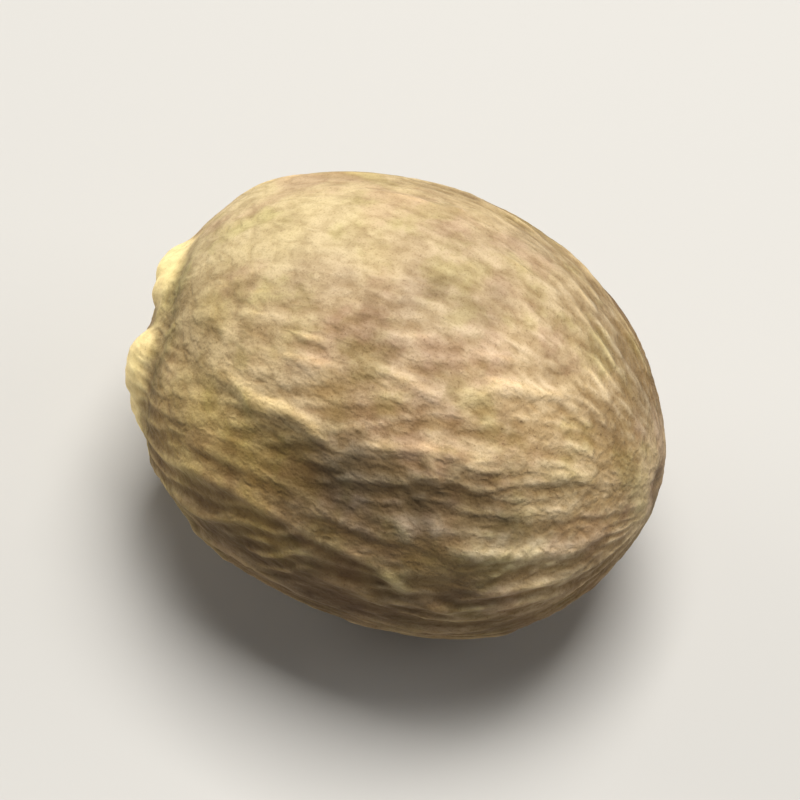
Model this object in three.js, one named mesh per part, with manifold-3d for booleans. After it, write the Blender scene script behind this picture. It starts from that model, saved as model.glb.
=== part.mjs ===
// A whole nutmeg: the dried seed kernel, out of its shell, lying on its side.
//
// Units are millimetres. +X runs along the seed from the hilum, the pale scar where it was
// attached, to the chalaza, the small pit at the far end. +Z is up. The origin is the middle
// of the bounding box's underside, on the small flat spot that the seed rests on.
//
// The seed is one solid. Its surface is an ellipsoid whose every point is moved along the
// ellipsoid's own normal by the sum of the reliefs below: broad swellings, furrows that run
// from end to end, the raphe, the hilum and the chalaza.
//
// A place on the seed is given by `along`, from -1 at the hilum end to +1 at the far end, and
// `roll`, the angle around the long axis: 0 faces -Y, 90 faces up and 180 faces +Y. All
// angles in the named values are degrees.

import * as THREE from "three";
import { mergeVertices } from "three/addons/utils/BufferGeometryUtils.js";
import Module from "manifold-3d";

// Driving dimensions of the plain ellipsoid.
const LENGTH = 28.6;
const WIDTH = 23.4;
const HEIGHT = 22.5;

// The underside: how much the flat resting spot takes off, and the angle around it at the
// seed's centre within which the reliefs fade out, so that the spot is one clean face.
const REST = { depth: 0.42, fade: 24 };

// Squares along each edge of the cube that is blown up into the seed.
const SQUARES = 26;

// Broad swellings (height above 0) and flattened patches (height below 0).
const SWELLINGS = [
  { along: -0.52, roll: 104, spread: 26, height: 0.2 },
  { along: -0.74, roll: 150, spread: 20, height: 0.45 },
  { along: -0.86, roll: -30, spread: 19, height: 0.34 },
  { along: 0.28, roll: 84, spread: 34, height: 0.15 },
  { along: 0.42, roll: 128, spread: 30, height: -0.12 },
  { along: 0.8, roll: 122, spread: 22, height: -0.35 },
  { along: 0.45, roll: 18, spread: 30, height: 0.25 },
  { along: -0.5, roll: -24, spread: 26, height: 0.32 },
  { along: -0.3, roll: 178, spread: 32, height: 0.22 },
  { along: 0.35, roll: -150, spread: 28, height: -0.25 },
  { along: -0.45, roll: -60, spread: 26, height: 0.15 },
  { along: 0.66, roll: -26, spread: 24, height: 0.5 },
];

// Furrows from end to end. Each draws its own place, bend, length, depth and width between
// the two values of each pair.
const FURROWS = {
  count: 23,
  offset: [-0.3, 0.3], // sideways, as a share of the even spacing
  sway: 9, // how far a furrow swings to each side, in degrees of roll
  bend: [0, 2], // where on its swing it starts, in half waves
  centre: [-0.45, 0.45], // its middle, as `along`
  reach: [0.38, 0.82], // its half length, as a share of the seed's
  depth: [0.14, 0.34],
  halfWidth: [0.48, 0.78],
};

// The patch by the hilum where the furrows are this much shallower.
const SMOOTH_PATCH = { along: -0.42, roll: 100, spread: 34, smoothness: 0.85 };

// The raphe: a broad shallow groove from the notch in the hilum to the chalaza. Its roll is
// the least at `lowest` and grows by `sweep` times the square of the way from there.
const RAPHE = { roll: 39, lowest: 0.05, sweep: 19, halfWidth: 1.7, depth: 0.42, endFade: 8 };

// The hilum: an uneven ring around a dip with a low knob in it, and a moat around the ring.
// The raphe cuts a notch in the ring and a gap under it, and the moat is filled at the shore.
const HILUM = {
  tilt: 7, // how far its middle is off the long axis
  tiltRoll: -26, // and towards which side
  ringRadius: 3.9,
  ringWidth: 1.2,
  ringHeight: 0.48,
  lobes: 4,
  lobeHeight: 0.18,
  lobeTurn: -140,
  notchRoll: 74,
  notchHalfAngle: 16,
  notchDepth: 0.8,
  gapReach: 2,
  gapDepth: 0.25,
  dipRadius: 2.8,
  dipDepth: 0.62,
  knobRadius: 1.6,
  knobHeight: 0.36,
  pitRadius: 0.5,
  pitDepth: 0.3,
  moatRadius: 6.1,
  moatWidth: 0.9,
  moatDepth: 0.26,
  shoreRoll: 150,
  shoreHalfAngle: 40,
};

// The chalaza: a low mound with a small pit in it.
const CHALAZA = {
  tilt: 6,
  tiltRoll: 150,
  moundRadius: 3.1,
  moundHeight: 0.32,
  pitRadius: 1.0,
  pitDepth: 0.5,
};

const HALF = new THREE.Vector3(LENGTH / 2, WIDTH / 2, HEIGHT / 2);

const degrees = THREE.MathUtils.degToRad;

// The bell curve that most reliefs are made of: 1 at 0, about a third at 1, near 0 beyond 2.
const bell = (x) => Math.exp(-x * x);

// A bell curve with a flat top.
const flatBell = (x) => Math.exp(-(x ** 4));

// An uneven number between low and high that is always the same for the same draw number:
// the fraction that is left of a large multiple of a sine.
function uneven([low, high], draw) {
  const large = 43758.5 * Math.sin(12.99 * draw + 4.14);
  return low + (high - low) * (large - Math.floor(large));
}

// The unit direction from the seed's centre to a place.
function directionAt({ along, roll }) {
  const around = Math.sqrt(1 - along * along);
  return new THREE.Vector3(
    along,
    -around * Math.cos(degrees(roll)),
    around * Math.sin(degrees(roll)),
  );
}

// The roll angle of a direction, in radians.
const rollOf = (direction) => Math.atan2(direction.z, -direction.y);

// The signed gap between two angles, from -pi to pi.
function angleBetween(a, b) {
  const gap = a - b;
  return gap - 2 * Math.PI * Math.round(gap / (2 * Math.PI));
}

// How strongly a round patch covers a direction, from 0 to 1.
function patchCover(patch, direction) {
  return bell(directionAt(patch).angleTo(direction) / degrees(patch.spread));
}

// The radius in millimetres of the ring that a place turns on around the long axis.
function ringRadiusAt(direction) {
  return Math.hypot(direction.y * HALF.y, direction.z * HALF.z);
}

function swellingRelief(direction) {
  return SWELLINGS.reduce(
    (sum, swelling) => sum + swelling.height * patchCover(swelling, direction),
    0,
  );
}

// One furrow: a bell curve across a swaying line of roll, faded out beyond its reach. Furrow
// number i takes the draws i, i + count, i + 2 count and so on.
function oneFurrow(direction, i) {
  const f = FURROWS;
  const [offset, bend, centre, reach, depth, halfWidth] = [
    f.offset,
    f.bend,
    f.centre,
    f.reach,
    f.depth,
    f.halfWidth,
  ].map((range, k) => uneven(range, i + k * f.count));
  const middle = ((i + offset) * 360) / f.count;
  const sway = f.sway * Math.sin(Math.PI * (direction.x + bend));
  const off = angleBetween(rollOf(direction), degrees(middle + sway));
  const across = bell((off * ringRadiusAt(direction)) / halfWidth);
  return -depth * across * flatBell((direction.x - centre) / reach);
}

function furrowRelief(direction) {
  let relief = 0;
  for (let i = 0; i < FURROWS.count; i += 1) {
    relief += oneFurrow(direction, i);
  }
  return relief * (1 - SMOOTH_PATCH.smoothness * patchCover(SMOOTH_PATCH, direction));
}

function rapheRelief(direction) {
  const fromLowest = direction.x - RAPHE.lowest;
  const middle = degrees(RAPHE.roll + RAPHE.sweep * fromLowest * fromLowest);
  const off = angleBetween(rollOf(direction), middle);
  const across = bell((off * ringRadiusAt(direction)) / RAPHE.halfWidth);
  return -RAPHE.depth * across * (1 - direction.x ** RAPHE.endFade);
}

// The place of a direction as seen from above one end of the seed: its distance from the
// middle of the mark there, in millimetres, and its angle around that middle.
function seenFromEnd(direction, end, mark) {
  const along = end * Math.cos(degrees(mark.tilt));
  const middle = directionAt({ along, roll: mark.tiltRoll }).multiply(HALF);
  const offset = direction.clone().multiply(HALF).sub(middle);
  return {
    distance: offset.length(),
    angle: Math.atan2(offset.z, -offset.y),
  };
}

// A bell curve of the gap between an angle and a middle angle, over a half angle in degrees.
function bellAround(angle, middle, halfAngle) {
  return bell(angleBetween(angle, degrees(middle)) / degrees(halfAngle));
}

function hilumRelief(direction) {
  const h = HILUM;
  const { distance, angle } = seenFromEnd(direction, -1, h);
  const notch = bellAround(angle, h.notchRoll, h.notchHalfAngle);
  const shore = bellAround(angle, h.shoreRoll, h.shoreHalfAngle);
  const lobes = h.lobeHeight * Math.cos(h.lobes * angle + degrees(h.lobeTurn));
  const ring = (h.ringHeight + lobes) * bell((distance - h.ringRadius) / h.ringWidth);
  const gap = h.gapDepth * notch * bell((distance - h.ringRadius) / h.gapReach);
  const dip = h.dipDepth * bell(distance / h.dipRadius);
  const knob = h.knobHeight * flatBell(distance / h.knobRadius);
  const pit = h.pitDepth * bell(distance / h.pitRadius);
  const moat = h.moatDepth * bell((distance - h.moatRadius) / h.moatWidth) * (1 - shore);
  return ring * (1 - h.notchDepth * notch) - gap - dip + knob - pit - moat;
}

function chalazaRelief(direction) {
  const c = CHALAZA;
  const { distance } = seenFromEnd(direction, 1, c);
  const mound = c.moundHeight * bell(distance / c.moundRadius);
  const pit = c.pitDepth * bell(distance / c.pitRadius);
  return mound - pit;
}

// How much of the reliefs is left at a direction: none in the middle of the underside.
function awayFromRest(direction) {
  return 1 - bell(Math.acos(-direction.z) / degrees(REST.fade));
}

// The point of the seed's surface in a direction from its centre.
function surfacePoint(direction) {
  const normal = direction.clone().divide(HALF).normalize();
  const relief =
    swellingRelief(direction) +
    furrowRelief(direction) +
    rapheRelief(direction) +
    hilumRelief(direction) +
    chalazaRelief(direction);
  return direction
    .clone()
    .multiply(HALF)
    .addScaledVector(normal, relief * awayFromRest(direction));
}

// A closed mesh of the seed before its resting spot is cut: a cube's squares pushed out onto
// a sphere at even angles, then onto the seed's surface.
function seedSurface() {
  const cube = new THREE.BoxGeometry(2, 2, 2, SQUARES, SQUARES, SQUARES);
  cube.deleteAttribute("normal");
  cube.deleteAttribute("uv");
  const surface = mergeVertices(cube);
  const positions = surface.getAttribute("position");
  const point = new THREE.Vector3();
  const evenAngle = (x) => Math.tan((x * Math.PI) / 4);
  for (let i = 0; i < positions.count; i += 1) {
    point.fromBufferAttribute(positions, i);
    point.set(evenAngle(point.x), evenAngle(point.y), evenAngle(point.z));
    const placed = surfacePoint(point.normalize());
    positions.setXYZ(i, placed.x, placed.y, placed.z);
  }
  return surface;
}

// A slab whose top face is level with the resting spot, wider and longer than the seed.
function restingSlab() {
  const slab = new THREE.BoxGeometry(LENGTH * 2, WIDTH * 2, HEIGHT);
  slab.deleteAttribute("normal");
  slab.deleteAttribute("uv");
  const top = -HALF.z + REST.depth;
  return mergeVertices(slab.translate(0, 0, top - HEIGHT / 2));
}

// A closed mesh as a manifold-3d solid.
function toSolid(wasm, geometry) {
  return new wasm.Manifold(
    new wasm.Mesh({
      numProp: 3,
      vertProperties: new Float32Array(geometry.getAttribute("position").array),
      triVerts: new Uint32Array(geometry.index.array),
    }),
  );
}

// A manifold-3d solid as a geometry.
function toGeometry(solid) {
  const mesh = solid.getMesh();
  const geometry = new THREE.BufferGeometry();
  geometry.setAttribute(
    "position",
    new THREE.BufferAttribute(new Float32Array(mesh.vertProperties), 3),
  );
  geometry.setIndex(new THREE.BufferAttribute(new Uint32Array(mesh.triVerts), 1));
  return geometry;
}

// The seed less its resting spot, moved so that the origin is under its middle.
async function nutmegGeometry() {
  const wasm = await Module();
  wasm.setup();
  const seed = toSolid(wasm, seedSurface());
  const geometry = toGeometry(seed.subtract(toSolid(wasm, restingSlab())));
  geometry.computeBoundingBox();
  const box = geometry.boundingBox;
  const middle = box.getCenter(new THREE.Vector3());
  geometry.translate(-middle.x, -middle.y, -box.min.z);
  geometry.computeVertexNormals();
  return geometry;
}

const kernelSkin = new THREE.MeshStandardMaterial({
  name: "nutmeg_skin",
  color: new THREE.Color(0.76, 0.62, 0.44),
  roughness: 0.78,
  metalness: 0,
});

const nutmeg = new THREE.Mesh(await nutmegGeometry(), kernelSkin);
nutmeg.name = "nutmeg";

const part = new THREE.Group();
part.add(nutmeg);

export default part;
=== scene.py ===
"""A whole nutmeg, lying on its side on a pale table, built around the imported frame.

The seed is one closed surface. Its form is an ellipsoid with broad swellings, a raphe groove,
a hilum and a chalaza, and over that lie the wrinkles of the dried skin, all worked out with
numpy on a grid of rings and spokes. Lengths are metres, written as multiples of MM.

A place on the seed is given by `along`, from -1 at the hilum end to +1 at the far end, and
`roll`, the angle in degrees around the long axis: 0 faces -Y, 90 faces up and 180 faces +Y.
Each random choice comes from a generator that starts from a number called its draw.
"""

import logging
import math
from dataclasses import dataclass, field
from enum import Enum
from typing import Any, Mapping, Optional, Sequence, Tuple, Union

import bpy
import numpy as np
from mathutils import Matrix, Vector


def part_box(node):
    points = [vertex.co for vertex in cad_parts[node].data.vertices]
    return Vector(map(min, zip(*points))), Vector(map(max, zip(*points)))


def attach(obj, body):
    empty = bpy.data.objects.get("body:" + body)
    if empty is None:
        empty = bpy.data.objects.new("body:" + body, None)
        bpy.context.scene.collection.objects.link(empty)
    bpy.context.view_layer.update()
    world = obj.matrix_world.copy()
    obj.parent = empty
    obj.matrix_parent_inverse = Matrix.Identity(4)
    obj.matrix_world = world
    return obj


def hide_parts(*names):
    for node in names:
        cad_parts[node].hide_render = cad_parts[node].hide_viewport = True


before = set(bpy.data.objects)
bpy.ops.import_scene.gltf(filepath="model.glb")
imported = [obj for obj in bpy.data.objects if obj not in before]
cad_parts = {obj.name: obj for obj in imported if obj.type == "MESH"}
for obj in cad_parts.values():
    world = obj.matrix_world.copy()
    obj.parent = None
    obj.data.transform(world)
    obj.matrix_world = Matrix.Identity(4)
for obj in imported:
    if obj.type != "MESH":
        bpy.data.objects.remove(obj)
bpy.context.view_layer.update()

LOG = logging.getLogger("nutmeg")
MM = 0.001

Array = np.ndarray
Colour = Tuple[float, float, float]
Span = Tuple[float, float]
Weights = Tuple[Tuple[str, float], ...]


def bell(x: Array) -> Array:
    """A bell curve: 1 at 0, about a third at 1 and near 0 beyond 2."""
    return np.exp(-x * x)


def unit(vectors: Array) -> Array:
    """Each vector, or the one vector, brought to length 1."""
    return vectors / np.linalg.norm(vectors, axis=-1, keepdims=True)


def angle_between(a: Array, b: float) -> Array:
    """The signed gap from angle b to each angle a, from -pi to pi."""
    gap = a - b
    return gap - 2 * np.pi * np.round(gap / (2 * np.pi))


def smooth_step(low: float, high: float, x: Array) -> Array:
    """0 below low, 1 above high, and an S-shaped curve between them."""
    t = np.clip((x - low) / (high - low), 0.0, 1.0)
    return t * t * (3 - 2 * t)


def blended(tint: Array, colour: Colour, cover: Array) -> Array:
    """Each point's tint turned into the colour as far as the cover says, from 0 to 1."""
    part = cover[:, None]
    return tint * (1 - part) + np.array(colour) * part


def drift(
    points: Array, size: float, draw: int, waves: int = 28, lengths: Span = (0.7, 1.5)
) -> Array:
    """A smooth random field: the sum of plane waves of random direction, length and phase.

    Each wave is cos(k . point + phase), and the sum is scaled so that the field's standard
    deviation is 1.

    Args:
        points: Where the field is wanted, n by 3.
        size: The typical wavelength, in metres.
        draw: The number that the random generator starts from.
        waves: How many plane waves are added.
        lengths: The shortest and the longest wavelength, as shares of the size.

    Returns:
        The field at each point.
    """
    random = np.random.default_rng(draw)
    directions = unit(random.normal(size=(waves, 3)))
    wavelengths = size * random.uniform(*lengths, size=(waves, 1))
    phases = random.uniform(0, 2 * np.pi, size=waves)
    numbers = 2 * np.pi * directions / wavelengths
    return np.cos(points @ numbers.T + phases).sum(axis=1) * math.sqrt(2 / waves)


@dataclass(frozen=True)
class Place:
    """A place on the seed."""

    along: float
    roll: float

    def direction(self) -> Array:
        """The direction of this place from the seed's centre, before the seed is stretched.

        Returns:
            A unit vector: `along` on the X axis, and the rest turned about it by `roll`.
        """
        around = math.sqrt(1 - self.along**2)
        roll = math.radians(self.roll)
        return np.array([self.along, -around * math.cos(roll), around * math.sin(roll)])

    def angle_to(self, directions: Array) -> Array:
        """The angle in degrees from this place to each direction, at the seed's centre."""
        return np.degrees(np.arccos(np.clip(directions @ self.direction(), -1.0, 1.0)))


@dataclass(frozen=True)
class SeedGrid:
    """The grid of rings and spokes that the seed's surface is worked out on."""

    rings: int = 221
    spokes: int = 444

    def directions(self) -> Array:
        """The unit direction of every grid point.

        The polar angle runs from 0 at the far end to pi at the hilum end, over the rings, and
        the roll runs once round over the spokes. The two end points come last.

        Returns:
            An array of rings * spokes + 2 directions.
        """
        polar = np.linspace(0, np.pi, self.rings + 2)[1:-1, None]
        roll = np.linspace(0, 2 * np.pi, self.spokes, endpoint=False)[None, :]
        inner = np.stack(
            [
                np.cos(polar) + 0 * roll,
                -np.sin(polar) * np.cos(roll),
                np.sin(polar) * np.sin(roll),
            ],
            axis=-1,
        )
        ends = np.array([[1.0, 0.0, 0.0], [-1.0, 0.0, 0.0]])
        return np.concatenate([inner.reshape(-1, 3), ends])

    def faces(self) -> list:
        """The faces between neighbouring rings and spokes, and the two fans at the ends.

        Returns:
            The vertex numbers of each face, turned so that the faces point outwards.
        """
        spoke = np.arange(self.spokes)
        after = (spoke + 1) % self.spokes
        ring = np.arange(self.rings - 1)[:, None] * self.spokes
        quads = np.stack(
            [ring + spoke, ring + after, ring + after + self.spokes, ring + spoke + self.spokes],
            axis=-1,
        ).reshape(-1, 4)
        far_end = self.rings * self.spokes
        last = (self.rings - 1) * self.spokes
        far_fan = np.stack([far_end + 0 * spoke, after, spoke], axis=-1)
        hilum_fan = np.stack([far_end + 1 + 0 * spoke, last + spoke, last + after], axis=-1)
        return quads.tolist() + far_fan.tolist() + hilum_fan.tolist()


@dataclass(frozen=True)
class EndMark:
    """Where the mark at one end of the seed has its middle."""

    end: int
    tilt: float
    tilt_roll: float

    def middle(self, half: Array) -> Array:
        """The middle: the end of the long axis, turned by `tilt` degrees towards `tilt_roll`."""
        along = self.end * math.cos(math.radians(self.tilt))
        return Place(along, self.tilt_roll).direction() * half


@dataclass
class Seed:
    """The plain ellipsoid that every relief is laid on, at the points of a grid."""

    half: Array
    directions: Array
    hilum: EndMark
    chalaza: EndMark
    points: Array = field(init=False)
    normals: Array = field(init=False)
    roll: Array = field(init=False)
    ring_radius: Array = field(init=False)
    strayed: Array = field(init=False)
    stray: float = 0.13 * MM
    stray_size: float = 4.0 * MM
    stray_draw: int = 301

    def __post_init__(self) -> None:
        """Works out the points, their outward normals, and their place around the axis.

        The strayed points are moved a little by a smooth random field for each axis, so that a
        line that is measured from them wanders.
        """
        self.points = self.directions * self.half
        self.normals = unit(self.directions / self.half)
        self.roll = np.arctan2(self.directions[:, 2], -self.directions[:, 1])
        self.ring_radius = np.hypot(self.points[:, 1], self.points[:, 2])
        draws = range(self.stray_draw, self.stray_draw + 3)
        shifts = [drift(self.points, self.stray_size, draw) for draw in draws]
        self.strayed = self.points + self.stray * np.stack(shifts, axis=1)

    @property
    def along(self) -> Array:
        """How far along the seed each point is, from -1 to +1."""
        return self.directions[:, 0]

    def angle_from(self, place: Place) -> Array:
        """The angle in degrees at the seed's centre between each point and a place."""
        return place.angle_to(self.directions)

    def seen_from_end(self, mark: EndMark) -> Tuple[Array, Array]:
        """Each point's distance from the middle of an end's mark, and its angle around it."""
        offset = self.points - mark.middle(self.half)
        return np.linalg.norm(offset, axis=1), np.arctan2(offset[:, 2], -offset[:, 1])

    def flow(self, points: Array, normals: Array) -> Array:
        """The way that wrinkles run: lines that leave the hilum and gather at the chalaza.

        It is the pull of the far end's middle plus the push of the hilum's, each falling with
        distance, brought into the skin's own plane.

        Args:
            points: Points of the skin, n by 3.
            normals: Their outward normals.

        Returns:
            A unit direction along the skin for each point.
        """
        to_far = self.chalaza.middle(self.half) - points
        from_hilum = points - self.hilum.middle(self.half)
        pull = to_far / np.sum(to_far**2, axis=1, keepdims=True)
        push = from_hilum / np.sum(from_hilum**2, axis=1, keepdims=True)
        both = pull + push
        return unit(both - normals * np.sum(both * normals, axis=1, keepdims=True))


@dataclass(frozen=True)
class Swelling:
    """A broad round swelling, or a flattened patch where the height is below 0."""

    place: Place
    spread: float
    height: float

    def relief(self, seed: Seed) -> Array:
        """Height times a bell curve of the angle from the middle, over the spread."""
        return self.height * bell(seed.angle_from(self.place) / self.spread)


@dataclass(frozen=True)
class Raphe:
    """The broad shallow groove from the notch in the hilum to the chalaza.

    The roll of its middle line is least at `lowest` along the seed, and grows by `sweep` times
    the square of the way from there.
    """

    roll: float = 39.0
    lowest: float = 0.05
    sweep: float = 19.0
    half_width: float = 1.7 * MM
    depth: float = 0.42 * MM
    end_fade: float = 8.0

    def across(self, seed: Seed) -> Array:
        """The distance from the groove's middle line, in half widths."""
        middle = np.radians(self.roll + self.sweep * (seed.along - self.lowest) ** 2)
        return angle_between(seed.roll, middle) * seed.ring_radius / self.half_width

    def relief(self, seed: Seed) -> Array:
        """A bell curve across the groove, which fades out at the two ends."""
        fade = 1 - np.abs(seed.along) ** self.end_fade
        return -self.depth * bell(self.across(seed)) * fade


@dataclass(frozen=True)
class Hilum:
    """The scar where the seed was attached: an uneven ring, a dip in it and a moat around."""

    mark: EndMark = EndMark(end=-1, tilt=7.0, tilt_roll=-26.0)
    ring_radius: float = 3.9 * MM
    ring_width: float = 1.2 * MM
    ring_height: float = 0.48 * MM
    dip_radius: float = 2.8 * MM
    dip_depth: float = 0.62 * MM
    moat_radius: float = 6.1 * MM
    moat_width: float = 0.9 * MM
    moat_depth: float = 0.26 * MM
    shore_roll: float = 150.0
    shore_half_angle: float = 40.0
    lobes: int = 4
    lobe_height: float = 0.18 * MM
    lobe_turn: float = -140.0
    notch_roll: float = 74.0
    notch_half_angle: float = 16.0
    notch_depth: float = 0.8
    gap_depth: float = 0.25 * MM
    gap_reach: float = 2.0 * MM
    knob_radius: float = 1.6 * MM
    knob_height: float = 0.36 * MM
    pit_radius: float = 0.5 * MM
    pit_depth: float = 0.3 * MM
    pleats: int = 19
    pleat_height: float = 0.045 * MM
    pleat_radius: float = 4.2 * MM
    pleat_reach: float = 2.2 * MM
    pleat_wander: float = 1.6
    pleat_strength: float = 0.7
    pleat_variation: float = 0.5
    pleat_limit: float = 1.3
    lump_height: float = 0.05 * MM
    lump_size: float = 1.7 * MM
    draw: int = 71
    ragged: float = 0.35 * MM
    pleated_edge: float = 0.8
    pale: Colour = (1.0, 0.81, 0.41)
    pale_radius: float = 5.6 * MM
    pale_width: float = 1.1 * MM
    pale_heights: Span = (-0.32 * MM, 0.02 * MM)
    notch_shade: float = 0.3
    shade: Colour = (0.40, 0.30, 0.14)
    shade_cover: float = 0.8
    # Painted shade: an olive-brown dark laid in the moat around the scar.
    dark_in_hollow: Colour = (0.30, 0.24, 0.09)
    dark_in_hollow_radius: float = 6.7 * MM
    dark_in_hollow_cover: float = 0.75

    def ring(self, seed: Seed) -> Array:
        """The ring: a bell curve of the distance from the middle, with lobes and a notch.

        Args:
            seed: The seed.

        Returns:
            The ring's height at each point.
        """
        distance, angle = seed.seen_from_end(self.mark)
        lobes = self.lobe_height * np.cos(self.lobes * angle + math.radians(self.lobe_turn))
        ring = bell((distance - self.ring_radius) / self.ring_width)
        return (self.ring_height + lobes) * (1 - self.notch_depth * self.notch(angle)) * ring

    def moat(self, seed: Seed, radius: float) -> Array:
        """The moat: a bell curve of the distance, which is filled at the shore.

        Args:
            seed: The seed.
            radius: How far from the middle of the scar the moat runs.

        Returns:
            The share of the moat at each point, from 0 to 1.
        """
        distance, angle = seed.seen_from_end(self.mark)
        shore = angle_between(angle, math.radians(self.shore_roll))
        filled = bell(shore / math.radians(self.shore_half_angle))
        return bell((distance - radius) / self.moat_width) * (1 - filled)

    def notch(self, angle: Array) -> Array:
        """A bell curve of the angle around the ring from the middle of its notch."""
        gap = angle_between(angle, math.radians(self.notch_roll))
        return bell(gap / math.radians(self.notch_half_angle))

    def pleating(self, seed: Seed) -> Array:
        """The radial pleats.

        They are a wave of the angle around the middle, which a smooth random field makes
        wander and another makes come and go, times a bell curve of the distance.

        Args:
            seed: The seed.

        Returns:
            The wave at each point, from about -1 to 1.
        """
        distance, angle = seed.seen_from_end(self.mark)
        wander = drift(seed.points, 2 * self.pleat_radius, self.draw)
        variation = self.pleat_variation * drift(seed.points, self.pleat_radius, self.draw + 2)
        strength = np.clip(self.pleat_strength + variation, 0, self.pleat_limit)
        wave = np.cos(self.pleats * angle + self.pleat_wander * wander)
        return wave * strength * bell((distance - self.pleat_radius) / self.pleat_reach)

    def relief(self, seed: Seed) -> Array:
        """The ring, less a dip and a moat, plus a knob with a pit, radial pleats and lumps.

        A gap across the ring deepens its notch. The dip, the moat, the knob and the pit are
        bell curves of the distance from the middle, and the lumps are a smooth random field.

        Args:
            seed: The seed.

        Returns:
            The height at each point.
        """
        distance, angle = seed.seen_from_end(self.mark)
        gap = self.notch(angle) * bell((distance - self.ring_radius) / self.gap_reach)
        lumps = self.lump_height * drift(seed.points, self.lump_size, self.draw + 1)
        return (
            self.ring(seed)
            - self.gap_depth * gap
            - self.dip_depth * bell(distance / self.dip_radius)
            - self.moat_depth * self.moat(seed, self.moat_radius)
            + self.knob_height * bell((distance / self.knob_radius) ** 2)
            - self.pit_depth * bell(distance / self.pit_radius)
            + self.pleat_height * self.pleating(seed)
            + lumps * bell((distance / self.moat_radius) ** 2)
        )

    def inside(self, seed: Seed) -> Array:
        """Where the scar is: a smooth step of the distance, made ragged by drift and pleats.

        Args:
            seed: The seed.

        Returns:
            1 inside the scar's edge and 0 outside, at each point.
        """
        distance, _ = seed.seen_from_end(self.mark)
        pleats = self.pleated_edge * self.pleating(seed)
        edge_shift = drift(seed.points, self.lump_size, self.draw + 3) - pleats
        ragged = distance + self.ragged * edge_shift
        return 1 - smooth_step(self.pale_radius, self.pale_radius + self.pale_width, ragged)

    def cover(self, seed: Seed) -> Array:
        """How pale the scar is: most where it stands up, and less in its notch, so that its low
        parts and its notch keep a darker colour that is partly painted shade.

        Args:
            seed: The seed.

        Returns:
            The share of the pale colour at each point, from 0 to 1.
        """
        _, angle = seed.seen_from_end(self.mark)
        high = smooth_step(*self.pale_heights, self.relief(seed))
        return self.inside(seed) * high * (1 - self.notch_shade * self.notch(angle))

    def tinted(self, tint: Array, seed: Seed) -> Array:
        """Lays the scar's colours on the skin's tint.

        They are a painted shade in the moat, and inside it pale cream where the scar stands up and
        a brown colour where it is low, partly its own and partly painted shade.

        Args:
            tint: The skin's colour at each point.
            seed: The seed.

        Returns:
            The tint with the scar's colours.
        """
        # Painted shade in the moat around the scar.
        tint = blended(tint, self.dark_in_hollow, self.dark_in_hollow_cover * self.moat(seed, self.dark_in_hollow_radius))
        # The scar's low parts stay brown: partly its own colour and partly painted shade, as the
        # pale is laid only where it stands up.
        tint = blended(tint, self.shade, self.shade_cover * self.inside(seed))
        return blended(tint, self.pale, self.cover(seed))


@dataclass(frozen=True)
class Chalaza:
    """The mark at the far end: a low mound with a small pit in it."""

    mark: EndMark = EndMark(end=1, tilt=6.0, tilt_roll=150.0)
    mound_radius: float = 3.1 * MM
    mound_height: float = 0.32 * MM
    pit_radius: float = 1.0 * MM
    pit_depth: float = 0.5 * MM
    dark_in_hollow: Colour = (0.16, 0.10, 0.05)
    dark_in_hollow_cover: float = 0.8
    dark_in_hollow_radius: float = 1.5 * MM
    ragged: float = 0.3 * MM
    ragged_size: float = 1.5 * MM
    draw: int = 81

    def relief(self, seed: Seed) -> Array:
        """A bell curve of the distance for the mound, less a narrower one for the pit.

        Args:
            seed: The seed.

        Returns:
            The height at each point.
        """
        distance, _ = seed.seen_from_end(self.mark)
        mound = self.mound_height * bell(distance / self.mound_radius)
        return mound - self.pit_depth * bell(distance / self.pit_radius)

    def tinted(self, tint: Array, seed: Seed) -> Array:
        """Lays the pit's dark stain on the skin's tint.

        Args:
            tint: The skin's colour at each point.
            seed: The seed.

        Returns:
            The tint with the stain.
        """
        distance, _ = seed.seen_from_end(self.mark)
        ragged = distance + self.ragged * drift(seed.points, self.ragged_size, self.draw)
        return blended(tint, self.dark_in_hollow, self.dark_in_hollow_cover * bell(ragged / self.dark_in_hollow_radius))


@dataclass(frozen=True)
class Lean:
    """A round patch where wrinkles lean by an angle in degrees towards a greater roll."""

    place: Place
    spread: float
    angle: float

    def at(self, directions: Array) -> Array:
        """The angle in degrees in each direction from the seed's centre."""
        return self.angle * bell(self.place.angle_to(directions) / self.spread)


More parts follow.
